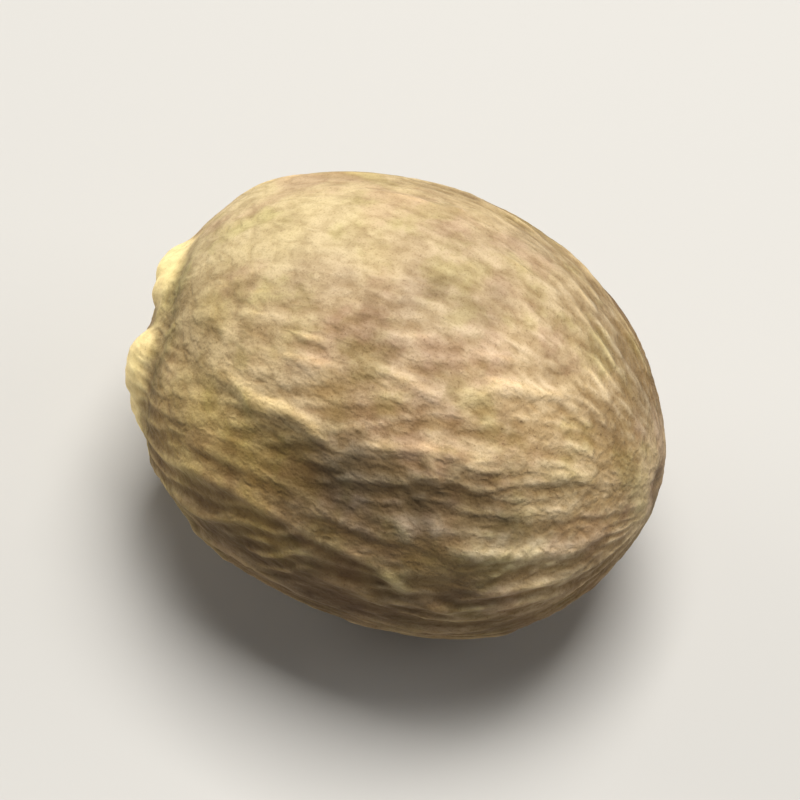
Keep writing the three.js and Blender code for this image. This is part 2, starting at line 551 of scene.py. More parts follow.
@dataclass(frozen=True)
class Wrinkles:
    """One layer of wrinkles, made of many short trains of waves laid along the seed.

    Each train is a few parallel crests about a random point of the skin: a plane wave times a
    bell-shaped envelope that is longer along the crests than across them. The trains are
    added as complex numbers, and the wrinkle's profile is drawn from the angle of the sum, so
    crests join into long wavy lines that fork and end as they do on dried skin.
    """

    spacing: float
    trains: int
    length: float
    breadth: float
    slant: float
    swirl: float
    swirl_size: float
    roundness: float
    draw: int
    spread: Span = (0.85, 1.18)
    gather: float = 9 * MM
    tightest: float = 0.5
    reach: float = 2.5
    faintest: float = 0.35
    patch_size: float = 5.5 * MM
    patch_level: float = 0.8
    patch_variation: float = 0.3
    patch_limits: Span = (0.15, 1.25)
    sharp_share: float = 0.25
    sharp_power: float = 4.0

    def crests(self, seed: Seed, leans: Sequence[Lean]) -> Tuple[Array, Array]:
        """The layer's crest wave and its clearness at every point.

        Args:
            seed: The seed.
            leans: The patches where the wrinkles lean.

        Returns:
            The wave, from -1 in the furrows to 1 on the crests, and how clear the wave is
            there, from 0 where trains cancel to 1.
        """
        random = np.random.default_rng(self.draw)
        directions = unit(random.normal(size=(self.trains, 3)))
        middles = directions * seed.half
        normals = unit(directions / seed.half)
        slants = np.radians(self.slant * random.normal(size=self.trains))
        slants += np.radians(sum(lean.at(directions) for lean in leans))
        slants += np.radians(self.swirl) * drift(middles, self.swirl_size, self.draw + 1)
        phases = random.uniform(0, 2 * np.pi, size=self.trains)
        spacings = self.spacing * random.uniform(*self.spread, size=self.trains)
        flows = seed.flow(middles, normals)
        sideways = np.cross(normals, flows)
        runs = np.cos(slants)[:, None] * flows + np.sin(slants)[:, None] * sideways
        sides = np.cross(normals, runs)
        from_ends = np.minimum(
            np.linalg.norm(middles - seed.hilum.middle(seed.half), axis=1),
            np.linalg.norm(middles - seed.chalaza.middle(seed.half), axis=1),
        )
        tight = np.clip(from_ends / self.gather, self.tightest, 1.0)
        total = np.zeros(len(seed.points), complex)
        order = np.argsort(seed.points[:, 0])
        ordered_x = seed.points[order, 0]
        for middle, normal, run, side, phase, spacing, shrink in zip(
            middles, normals, runs, sides, phases, spacings * tight, tight
        ):
            length, breadth = self.length * shrink, self.breadth * shrink
            first, last = np.searchsorted(
                ordered_x, (middle[0] - self.reach * length, middle[0] + self.reach * length)
            )
            near = order[first:last]
            offset = seed.points[near] - middle
            train_axes = np.stack([run / length, side / breadth, normal / length], axis=1)
            scaled = offset @ train_axes
            apart = np.einsum("ij,ij->i", scaled, scaled)
            within = apart < self.reach**2
            wave_turns = scaled[within, 1] * (breadth / spacing)
            wave = np.exp(1j * (2 * np.pi * wave_turns + phase) - apart[within] / 2)
            total[near[within]] += wave
        strength = np.abs(total)
        clearness = strength / (strength + self.faintest * np.median(strength))
        return np.cos(np.angle(total)), clearness

    def raised(self, seed: Seed, leans: Sequence[Lean]) -> Array:
        """The layer's crests as heights.

        The wave is brought between 0 and 1, and mixed from two powers of itself: a low one for
        the crest's round body and a high one for its sharp top. A smooth random field makes
        the crests come and go.

        Args:
            seed: The seed.
            leans: The patches where the wrinkles lean.

        Returns:
            The height at each point, from 0 to about 1.
        """
        wave, clearness = self.crests(seed, leans)
        patches = drift(seed.points, self.patch_size, self.draw + 2)
        strength = self.patch_level + self.patch_variation * patches
        lifted = (1 + wave) / 2
        body = (1 - self.sharp_share) * lifted**self.roundness
        top = self.sharp_share * lifted ** (self.sharp_power * self.roundness)
        return (body + top) * clearness * np.clip(strength, *self.patch_limits)


@dataclass(frozen=True)
class BoldRidge:
    """A ridge that stands out from the rest, along a smooth line through three places."""

    start: Place
    middle: Place
    end: Place
    height: float
    half_width: float
    steps: int = 48
    reach: float = 3.0
    blunt: float = 0.02

    def line(self, seed: Seed) -> Array:
        """The crest's line: the second-degree curve through the three places.

        Args:
            seed: The seed.

        Returns:
            Points along the line, one for each step.
        """
        t = np.linspace(0.0, 1.0, self.steps)[:, None]
        shares = ((1 - t) * (1 - 2 * t), 4 * t * (1 - t), t * (2 * t - 1))
        places = (self.start, self.middle, self.end)
        path = sum(share * place.direction() for share, place in zip(shares, places))
        return unit(path) * seed.half

    def profile(self, seed: Seed, widen: float = 1.0) -> Array:
        """A bell curve of the distance from the crest's line, which tapers to both ends.

        Args:
            seed: The seed.
            widen: How many times the half width the bell curve's own half width is.

        Returns:
            The profile at each point, 1 on the middle of the crest.
        """
        line = self.line(seed)
        centre = line.mean(axis=0)
        half_width = self.half_width * widen
        reach = np.linalg.norm(line - centre, axis=1).max() + self.reach * half_width
        near = np.flatnonzero(np.linalg.norm(seed.strayed - centre, axis=1) < reach)
        apart = np.linalg.norm(seed.strayed[near][:, None] - line, axis=2)
        way = apart.argmin(axis=1) / (self.steps - 1)
        taper = np.sqrt(np.sin(np.pi * np.clip(way, self.blunt, 1 - self.blunt)))
        profile = np.zeros(len(seed.points))
        profile[near] = bell(apart.min(axis=1) / half_width) * taper
        return profile


def ridge(start: Span, middle: Span, end: Span, height: float, half_width: float) -> BoldRidge:
    """A bold ridge through three places given as along and roll, with its sizes in mm."""
    return BoldRidge(Place(*start), Place(*middle), Place(*end), height * MM, half_width * MM)


@dataclass(frozen=True)
class ScatteredRidges:
    """Bold ridges at random places on one side of the seed, one for each step of roll."""

    count: int = 26
    draw: int = 17
    rolls: Span = (118, 350)
    starts: Span = (-0.85, 0.35)
    lengths: Span = (0.25, 0.55)
    turns: Span = (-14, 14)
    bends: Span = (-5, 5)
    heights: Span = (0.13, 0.26)
    half_widths: Span = (0.34, 0.48)

    def ridges(self) -> Tuple[BoldRidge, ...]:
        """Draws the start, length, turn, bend, height and half width of each ridge.

        Returns:
            The ridges.
        """
        random = np.random.default_rng(self.draw)
        spans = (self.starts, self.lengths, self.turns, self.bends, self.heights, self.half_widths)
        ridges = []
        for roll in np.linspace(*self.rolls, self.count):
            start, length, turn, bend, *sizes = [random.uniform(*span) for span in spans]
            middle = (start + length / 2, roll + turn / 2 + bend)
            ridges.append(ridge((start, roll), middle, (start + length, roll + turn), *sizes))
        return tuple(ridges)


@dataclass(frozen=True)
class Patch:
    """A round patch where the wrinkles are higher by a share, or lower where it is below 0."""

    place: Place
    spread: float
    change: float

    def share(self, seed: Seed) -> Array:
        """What the wrinkles' height is multiplied by at each point."""
        return 1 + self.change * bell(seed.angle_from(self.place) / self.spread)


@dataclass(frozen=True)
class EndCalm:
    """How the wrinkles sink towards the middle of an end's mark."""

    least: float
    near: float
    far: float

    def share(self, distance: Array) -> Array:
        """What their height is multiplied by: `least` as far as `near`, and 1 beyond `far`."""
        return self.least + (1 - self.least) * smooth_step(self.near, self.far, distance)


@dataclass(frozen=True)
class WrinkleMap:
    """The wrinkles at each point: their height in metres, and three shares from 0 to 1."""

    height: Array
    furrow_tone_and_shade: Array
    crest: Array
    crease_tone_and_shade: Array


@dataclass(frozen=True)
class WrinkledSkin:
    """All the wrinkles of the dried skin: random layers, and the ridges that stand out."""

    folds: Wrinkles = Wrinkles(
        spacing=2.7 * MM, trains=420, length=3.6 * MM, breadth=1.9 * MM,
        slant=10.0, swirl=10.0, swirl_size=14 * MM, roundness=1.0, draw=11,
    )
    ridges: Wrinkles = Wrinkles(
        spacing=1.2 * MM, trains=1500, length=2.9 * MM, breadth=0.95 * MM,
        slant=7.0, swirl=9.0, swirl_size=8 * MM, roundness=1.15, draw=23,
    )
    creases: Wrinkles = Wrinkles(
        spacing=0.6 * MM, trains=4200, length=1.2 * MM, breadth=0.5 * MM,
        slant=18.0, swirl=20.0, swirl_size=5 * MM, roundness=1.5, draw=37,
    )
    fold_height: float = 0.15 * MM
    ridge_height: float = 0.125 * MM
    crease_height: float = 0.05 * MM
    scar_calm: EndCalm = EndCalm(0.3, 3.5 * MM, 7.0 * MM)
    tip_calm: EndCalm = EndCalm(0.35, 1.5 * MM, 6 * MM)
    patches: Tuple[Patch, ...] = (
        Patch(Place(-0.45, 108), 34, -0.85),
        Patch(Place(-0.75, 114), 26, -0.8),
        Patch(Place(0.15, 126), 32, -0.6),
        Patch(Place(0.3, 12), 40, 0.2),
        Patch(Place(-0.62, 46), 22, -0.5),
        Patch(Place(0.5, 86), 26, -0.25),
        Patch(Place(-0.05, 182), 36, 0.5),
    )
    leans: Tuple[Lean, ...] = (
        Lean(Place(0.42, 74), 30, 15),
        Lean(Place(-0.45, 14), 28, 24),
        Lean(Place(-0.1, 66), 26, 12),
    )
    bold: Tuple[BoldRidge, ...] = (
        ridge((-0.55, -16), (-0.2, -4), (0.1, -8), 0.24, 0.42),
        ridge((0.05, -6), (0.35, -10), (0.68, -12), 0.24, 0.42),
        ridge((0.45, -1), (0.68, 4), (0.88, 2), 0.2, 0.38),
        ridge((-0.62, 52), (-0.27, 51), (0.05, 48.5), 0.3, 0.55),
        ridge((0.02, 49.5), (0.27, 55.5), (0.64, 63), 0.24, 0.46),
        ridge((0.62, 59), (0.79, 65), (0.93, 71), 0.21, 0.46),
        ridge((-0.60, 13), (-0.30, 24), (0.06, 21.5), 0.23, 0.48),
        ridge((-0.61, -8), (-0.41, 7), (-0.22, 13), 0.26, 0.42),
        ridge((0.03, 21.5), (0.24, 18.5), (0.42, 10), 0.27, 0.46),
        ridge((0.38, 13), (0.48, 6), (0.6, 1), 0.24, 0.40),
        ridge((0.45, 30), (0.70, 29), (0.93, 36), 0.24, 0.6),
        ridge((0.50, 15), (0.76, 14), (0.94, 8), 0.22, 0.40),
        ridge((-0.36, 71), (-0.24, 66), (-0.04, 65), 0.2, 0.5),
        ridge((-0.05, 67), (0.18, 71), (0.32, 68), 0.18, 0.42),
        ridge((0.31, 68), (0.50, 81), (0.72, 95), 0.18, 0.4),
        ridge((0.32, 57), (0.36, 51), (0.42, 45), 0.15, 0.32),
        ridge((0.54, 46), (0.72, 46), (0.90, 54), 0.16, 0.55),
        ridge((0.01, 8), (0.18, 8), (0.34, 3), 0.22, 0.38),
        ridge((0.26, 107), (0.51, 105), (0.86, 113), 0.08, 0.32),
        ridge((-0.62, 23), (-0.40, 31), (-0.18, 37), 0.15, 0.34),
        ridge((0.36, 56), (0.5, 57), (0.65, 60), 0.13, 0.3),
        ridge((0.27, 36), (0.32, 34), (0.36, 30), 0.2, 0.42),
        ridge((0.38, 40), (0.42, 35), (0.42, 29), 0.16, 0.32),
        ridge((-0.34, 89), (-0.25, 91), (-0.15, 92), 0.08, 0.5),
        ridge((-0.72, 66), (-0.6, 66), (-0.5, 61), 0.12, 0.5),
    )
    scattered: ScatteredRidges = ScatteredRidges()
    flank_width: float = 2.2
    flank_depth: float = 0.35
    flank_calm: float = 0.35
    hollow_level: float = 1.05
    hollow_folds: float = 0.45
    hollow_ridges: float = 0.8
    hollow_flank: float = 0.8
    bright_power: float = 1.5
    bright_ridges: float = 0.9

    @property
    def tallest(self) -> float:
        """The height of the highest bold ridge."""
        return max(bold.height for bold in self.bold)

    def strength(self, seed: Seed) -> Array:
        """How much the wrinkles stand up: the patches' shares times those near the ends.

        Args:
            seed: The seed.

        Returns:
            What the random wrinkles' height is multiplied by at each point.
        """
        from_scar, _ = seed.seen_from_end(seed.hilum)
        from_tip, _ = seed.seen_from_end(seed.chalaza)
        patches = np.prod([patch.share(seed) for patch in self.patches], axis=0)
        return patches * self.scar_calm.share(from_scar) * self.tip_calm.share(from_tip)

    def standing_out(self, seed: Seed) -> Tuple[Array, Array]:
        """The bold ridges together: at each point, the highest of their profiles.

        Args:
            seed: The seed.

        Returns:
            Their crests and their wider flanks, each from 0 to 1.
        """
        crest = np.zeros(len(seed.points))
        flank = np.zeros(len(seed.points))
        for bold in self.bold + self.scattered.ridges():
            share = bold.height / self.tallest
            crest = np.maximum(crest, share * bold.profile(seed))
            flank = np.maximum(flank, share * bold.profile(seed, self.flank_width))
        return crest, flank

    def relief(self, seed: Seed) -> WrinkleMap:
        """Works out the height of the wrinkles, and where the furrows and crests are.

        The height is the random layers' heights times their strength, calmed beside a bold
        ridge, plus the bold crests and less a hollow along their flanks.

        Args:
            seed: The seed.

        Returns:
            The map of the wrinkles.
        """
        folds, ridges, creases = (
            layer.raised(seed, self.leans) for layer in (self.folds, self.ridges, self.creases)
        )
        LOG.info("random wrinkles laid")
        crest, flank = self.standing_out(seed)
        LOG.info("bold ridges laid")
        strength = self.strength(seed)
        calm = strength * (1 - self.flank_calm * flank)
        height = (
            calm * (self.fold_height * folds + self.ridge_height * ridges)
            + strength * self.crease_height * creases
            + self.tallest * crest
            - self.flank_depth * self.ridge_height * flank * (1 - crest)
        )
        # Darker in the furrows, in the hollows beside the bold ridges and in the fine creases:
        # partly the skin's own browner furrows and partly painted shade.
        low = self.hollow_level - self.hollow_folds * folds - self.hollow_ridges * ridges
        furrow_tone_and_shade = np.maximum(np.clip(low, 0, 1) * calm, self.hollow_flank * flank * strength)
        # Lighter crests: partly the skin's own paler ridges and partly a painted highlight along
        # their tops.
        crest_tone_and_highlight = np.maximum(crest**self.bright_power, self.bright_ridges * calm * ridges**2)
        return WrinkleMap(height, furrow_tone_and_shade * (1 - crest), crest_tone_and_highlight, strength * (1 - creases))


class Blend(Enum):
    """The ways in which two colours are put together."""

    MIX = "MIX"
    MULTIPLY = "MULTIPLY"


class CellDistance(Enum):
    """What the distance in a cell pattern is measured from."""

    MIDDLE = "F1"
    EDGE = "DISTANCE_TO_EDGE"


class Signal:
    """A socket's value in shader maths: an expression on signals adds Math nodes."""

    def __init__(self, graph: "Graph", socket: Optional[bpy.types.NodeSocket]) -> None:
        """Keeps the socket and the graph that it is in."""
        self.graph = graph
        self.socket = socket

    def _maths(self, operation: str, *values: "Value") -> "Signal":
        """The result of a Math node with that operation on those values."""
        return self.graph.node("ShaderNodeMath", {"operation": operation}, dict(enumerate(values)))

    def __add__(self, other: "Value") -> "Signal":
        """This plus the other."""
        return self._maths("ADD", self, other)

    __radd__ = __add__

    def __sub__(self, other: "Value") -> "Signal":
        """This less the other."""
        return self._maths("SUBTRACT", self, other)

    def __rsub__(self, other: "Value") -> "Signal":
        """The other less this."""
        return self._maths("SUBTRACT", other, self)

    def __mul__(self, other: "Value") -> "Signal":
        """This times the other."""
        return self._maths("MULTIPLY", self, other)

    __rmul__ = __mul__

    def between(self, low: float, high: float) -> "Signal":
        """0 below low, 1 above high, and a smooth ramp between them."""
        values = {"Value": self, "From Min": low, "From Max": high}
        return self.graph.node("ShaderNodeMapRange", {"interpolation_type": "SMOOTHSTEP"}, values)


Value = Union[Signal, float, Sequence[float]]


class Graph:
    """A material and its node tree."""

    ROUGHNESS = 0.55

    def __init__(self, name: str) -> None:
        """Makes the material and empties its tree.

        Args:
            name: The material's name.
        """
        self.material = bpy.data.materials.new(name)
        self.material.use_nodes = True
        self.tree = self.material.node_tree
        self.tree.nodes.clear()

    def node(
        self,
        kind: str,
        settings: Optional[Mapping[str, Any]] = None,
        values: Optional[Mapping[Union[int, str], Value]] = None,
        output: Union[int, str] = 0,
    ) -> Signal:
        """Adds one node.

        Args:
            kind: The node's type.
            settings: Its properties, set before its sockets.
            values: For each input, by name or number, a signal to link or a value to set.
            output: The output that is wanted, by name or number.

        Returns:
            The output as a signal.
        """
        node = self.tree.nodes.new(kind)
        for name, setting in (settings or {}).items():
            setattr(node, name, setting)
        for key, value in (values or {}).items():
            socket = node.inputs[key]
            if isinstance(value, Signal):
                self.tree.links.new(value.socket, socket)
            else:
                socket.default_value = value
        return Signal(self, node.outputs[output] if node.outputs else None)

    def mix(self, a: Value, b: Value, factor: Value, blend: Blend = Blend.MIX) -> Signal:
        """Turns a colour into another, or blends them.

        Args:
            a: The first colour.
            b: The second colour.
            factor: How far a is turned into b or blended with it, from 0 to 1.
            blend: How they are put together.

        Returns:
            The new colour.
        """
        factor_input, a_input, b_input, colour_output = 0, 6, 7, 2
        values = {factor_input: factor, a_input: self.opaque(a), b_input: self.opaque(b)}
        settings = {"data_type": "RGBA", "blend_type": blend.value}
        return self.node("ShaderNodeMix", settings, values, colour_output)

    @staticmethod
    def opaque(colour: Value) -> Value:
        """A colour with an alpha of 1 after its three numbers, or the signal as it is."""
        return colour if isinstance(colour, Signal) else (*colour, 1.0)

    def attribute(self, name: str, output: str = "Fac") -> Signal:
        """One of the mesh's own attributes."""
        return self.node("ShaderNodeAttribute", {"attribute_name": name}, output=output)

    def vector(self, operation: str, *values: Value) -> Signal:
        """The result of a Vector Math node with that operation on those values."""
        return self.node("ShaderNodeVectorMath", {"operation": operation}, dict(enumerate(values)))

    def noise(self, place: Signal, size: float, detail: float = 4.0) -> Signal:
        """Cloudy noise from 0 to 1 whose blotches are about `size` metres across."""
        values = {"Vector": place, "Scale": 1 / size, "Detail": detail, "Roughness": self.ROUGHNESS}
        return self.node("ShaderNodeTexNoise", {}, values, "Fac")

    def warped(self, place: Signal, base: Signal, size: float, reach: Sequence[float]) -> Signal:
        """The base place moved along each axis by a noise of that size, as far as its reach."""
        noise = self.node("ShaderNodeTexNoise", {}, {"Vector": place, "Scale": 1 / size}, "Color")
        return self.vector("MULTIPLY_ADD", noise, reach, base)

    def cells(self, place: Signal, size: float, measured: CellDistance) -> Signal:
        """The distance in a pattern of cells that are about `size` metres across."""
        values = {"Vector": place, "Scale": 1 / size}
        return self.node("ShaderNodeTexVoronoi", {"feature": measured.value}, values, "Distance")


@dataclass(frozen=True)
class SkinMark:
    """A soft-edged mark on the skin that pulls its colour towards another."""

    place: Place
    length: float
    width: float
    colour: Colour
    strength: float
    ragged: float = 0.35
    ragged_share: float = 0.5
    ragged_limits: Span = (0.7, 1.7)
    draws_per_mm: int = 1000

    def cover(self, seed: Seed) -> Array:
        """How much of the mark's colour each point takes.

        It is a bell curve of the distance from the middle, counted in half lengths along the
        seed and half widths around it, with the distance made ragged by a smooth random field.

        Args:
            seed: The seed.

        Returns:
            The share of the colour at each point, from 0 to the strength.
        """
        middle = self.place.direction() * seed.half
        normal = unit(self.place.direction() / seed.half)
        meridian = unit(np.array([1.0, 0.0, 0.0]) - normal * normal[0])
        offset = seed.points - middle
        run = offset @ meridian / (self.length / 2)
        side = offset @ np.cross(normal, meridian) / (self.width / 2)
        rise = offset @ normal / max(self.length, self.width)
        draw = int(self.draws_per_mm * self.length / MM)
        ragged = 1 + self.ragged * drift(seed.points, self.ragged_share * self.width, draw)
        distance = np.sqrt(run**2 + side**2 + rise**2)
        return self.strength * bell(distance * np.clip(ragged, *self.ragged_limits))


def mark(
    along: float, roll: float, length: float, width: float, colour: Colour, strength: float
) -> SkinMark:
    """A mark on the skin at a place given as along and roll, with its sizes in mm."""
    return SkinMark(Place(along, roll), length * MM, width * MM, colour, strength)


@dataclass(frozen=True)
class Fleck:
    """A colour that is laid where a pattern is high: from `low` on, and in full at `high`."""

    colour: Colour
    share: float
    low: float
    high: float
    blend: Blend = Blend.MULTIPLY

    def laid(self, under: Signal, pattern: Signal, where: Value = 1.0) -> Signal:
        """The colour under it with the fleck laid on, its share multiplied by `where`."""
        cover = self.share * where * pattern.between(self.low, self.high)
        return under.graph.mix(under, self.colour, cover, self.blend)


@dataclass(frozen=True)
class Blotch(Fleck):
    """A fleck that lies in clouds of a size, in a noise of its own."""

    size: float = 4.0 * MM
    shift: float = 0.0

    def clouded(self, under: Signal, place: Signal, where: Signal) -> Signal:
        """The colour under it with the clouds laid on, `shift` choosing a part of the noise."""
        moved = under.graph.vector("ADD", place, (self.shift, self.shift, 0.0))
        return self.laid(under, under.graph.noise(moved, self.size), where)


@dataclass(frozen=True)
class KernelSkin:
    """The finish of the skin: cream to tan on the crests, brown in the furrows, both partly
    painted: shade in the furrows and a highlight on the crests.
    """

    name: str = "nutmeg_skin"
    crest: Colour = (0.64, 0.495, 0.28)
    # The furrows' brown, which also carries painted shade in the hollows and creases; the veins use
    # it too.
    furrow: Colour = (0.50, 0.42, 0.30)
    blotches: Tuple[Blotch, ...] = (
        Blotch((0.88, 0.78, 0.85), 0.6, 0.5, 0.64, size=4.0 * MM),
        Blotch((0.82, 0.87, 0.66), 0.6, 0.5, 0.66, size=3.2 * MM, shift=0.3),
        Blotch((0.74, 0.70, 0.66), 0.7, 0.5, 0.66, size=1.9 * MM, shift=0.7),
    )
    # Painted highlight on the crests, with their own paler colour.
    crest_tone_and_highlight: Fleck = Fleck((1.52, 1.50, 1.36), 1.0, 0.1, 0.95)
    dust: Fleck = Fleck((0.80, 0.65, 0.40), 0.15, 0.55, 0.75, Blend.MIX)
    speck: Fleck = Fleck((0.11, 0.065, 0.035), 0.45, 0.6, 0.78, Blend.MIX)
    grit: Fleck = Fleck((0.80, 0.77, 0.72), 0.9, 0.45, 0.75)
    vein_share: float = 0.35
    scar_calm: float = 0.6
    mottle_size: float = 0.9 * MM
    streak_size: float = 0.45 * MM
    streak_stretch: float = 0.35
    grain_size: float = 0.2 * MM
    grain_detail: float = 3.0
    pore_size: float = 0.1 * MM
    pore_detail: float = 2.0
    cell_size: float = 0.42 * MM
    cell_warp_size: float = 1.0 * MM
    cell_warp: float = 0.3 * MM
    vein_size: float = 0.8 * MM
    vein_stretch: float = 0.22
    vein_warp_size: float = 1.1 * MM
    vein_warp: Sequence[float] = (0.5 * MM, 0.9 * MM, 0.9 * MM)
    vein_edge: Span = (0.0, 0.3)
    vein_breaks: Span = (0.3, 0.6)
    dark_hollow: float = 0.9
    dark_crease: float = 0.2
    dark_uneven: Weights = (("mottle", 0.4), ("streak", 0.35), ("cells", 0.25))
    dark_range: Span = (0.5125, 1.5125)
    bright_mottle: float = 0.7
    bright_level: float = 0.35
    speck_level: float = 0.35
    bump: Weights = (
        ("grain", 1.0), ("streak", 0.6), ("mottle", 0.4),
        ("cells", -0.55), ("pores", -0.8), ("veins", -0.6),
    )
    bump_strength: float = 0.6
    bump_distance: float = 0.11 * MM
    roughness: float = 0.64
    grain_roughness: float = 0.16
    specular: float = 0.25

    def patterns(self, graph: Graph, place: Signal) -> Mapping[str, Signal]:
        """Makes the fine patterns of the skin.

        Streaks and cells are stretched along the seed. The veins are the edges of long warped
        cells, and break off where the mottling is low.

        Args:
            graph: The material's graph.
            place: The place on the object.

        Returns:
            Each pattern by its name, from 0 to about 1.
        """
        along = graph.vector("MULTIPLY", place, (self.streak_stretch, 1.0, 1.0))
        cell_place = graph.warped(place, along, self.cell_warp_size, (self.cell_warp,) * 3)
        long = graph.vector("MULTIPLY", place, (self.vein_stretch, 1.0, 1.0))
        vein_place = graph.warped(place, long, self.vein_warp_size, self.vein_warp)
        edges = graph.cells(vein_place, self.vein_size, CellDistance.EDGE)
        mottle = graph.noise(place, self.mottle_size)
        return {
            "mottle": mottle,
            "streak": graph.noise(along, self.streak_size),
            "cells": graph.cells(cell_place, self.cell_size, CellDistance.MIDDLE),
            "grain": graph.noise(place, self.grain_size, self.grain_detail),
            "pores": graph.noise(place, self.pore_size, self.pore_detail),
            "veins": (1 - edges.between(*self.vein_edge)) * mottle.between(*self.vein_breaks),
        }

    @staticmethod
    def weighed(patterns: Mapping[str, Signal], weights: Weights) -> Signal:
        """The sum of the patterns that have a weight, each times its own."""
        first, *rest = [weight * patterns[name] for name, weight in weights]
        return sum(rest, first)

    def material(self) -> bpy.types.Material:
        """Builds the material.

        The mesh's tint is the colour of the crests, and the furrows are a darker and redder brown,
        partly the skin's own and partly painted shade.
        brown. Blotches, streaks and specks of several sizes vary both, less so on the scar.

        Returns:
            The material.
        """
        graph = Graph(self.name)
        place = graph.node("ShaderNodeTexCoord", output="Object")
        fine = self.patterns(graph, place)
        plain = 1 - self.scar_calm * graph.attribute("scar")
        tint = graph.attribute("tint", "Color")
        for blotch in self.blotches:
            tint = blotch.clouded(tint, place, plain)
        # Painted shade, with the furrows' own brown: the hollows and creases darken the colour.
        furrow_tone_and_shade = self.dark_hollow * graph.attribute("furrow_tone_and_shade")
        crease_tone_and_shade = self.dark_crease * graph.attribute("crease_tone_and_shade")
        dark = (furrow_tone_and_shade + crease_tone_and_shade + self.weighed(fine, self.dark_uneven)).between(*self.dark_range)
        furrow = graph.mix(tint, self.furrow, 1.0, Blend.MULTIPLY)
        colour = graph.mix(tint, furrow, dark)
        # Lighter crests: their own paler colour and a painted highlight.
        crest = graph.attribute("crest") + self.bright_mottle * fine["mottle"] - self.bright_level
        colour = self.crest_tone_and_highlight.laid(colour, crest)
        colour = self.dust.laid(colour, fine["streak"], 1 - dark)
        colour = self.speck.laid(colour, fine["grain"], self.speck_level + dark)
        colour = self.grit.laid(colour, fine["pores"], plain)
        veins = self.vein_share * plain * fine["veins"]
        colour = graph.mix(colour, self.furrow, veins, Blend.MULTIPLY)
        bump_values = {
            "Strength": self.bump_strength,
            "Distance": self.bump_distance,
            "Height": plain * self.weighed(fine, self.bump),
        }
        shader_values = {
            "Base Color": colour,
            "Roughness": self.roughness + self.grain_roughness * fine["grain"],
            "Specular IOR Level": self.specular,
            "Normal": graph.node("ShaderNodeBump", {}, bump_values),
        }
        shader = graph.node("ShaderNodeBsdfPrincipled", {}, shader_values)
        graph.node("ShaderNodeOutputMaterial", {}, {"Surface": shader})
        return graph.material


@dataclass(frozen=True)
class FloorFinish:
    """The plain pale surface that the seed lies on."""

    name: str = "pale_floor"
    colour: Colour = (0.56, 0.55, 0.53)
    cloud_size: float = 60 * MM
    cloud_detail: float = 2.0
    cloud_shade: float = 0.97
    roughness: float = 0.85

    def material(self) -> bpy.types.Material:
        """Builds a matt material of one pale colour with the faintest mottling.

        Returns:
            The material.
        """
        graph = Graph(self.name)
        place = graph.node("ShaderNodeTexCoord", output="Object")
        cloud = graph.noise(place, self.cloud_size, self.cloud_detail)
        shaded = tuple(self.cloud_shade * part for part in self.colour)
        colour = graph.mix(self.colour, shaded, cloud)
        shader = graph.node(
            "ShaderNodeBsdfPrincipled", {}, {"Base Color": colour, "Roughness": self.roughness}
        )
        graph.node("ShaderNodeOutputMaterial", {}, {"Surface": shader})
        return graph.material


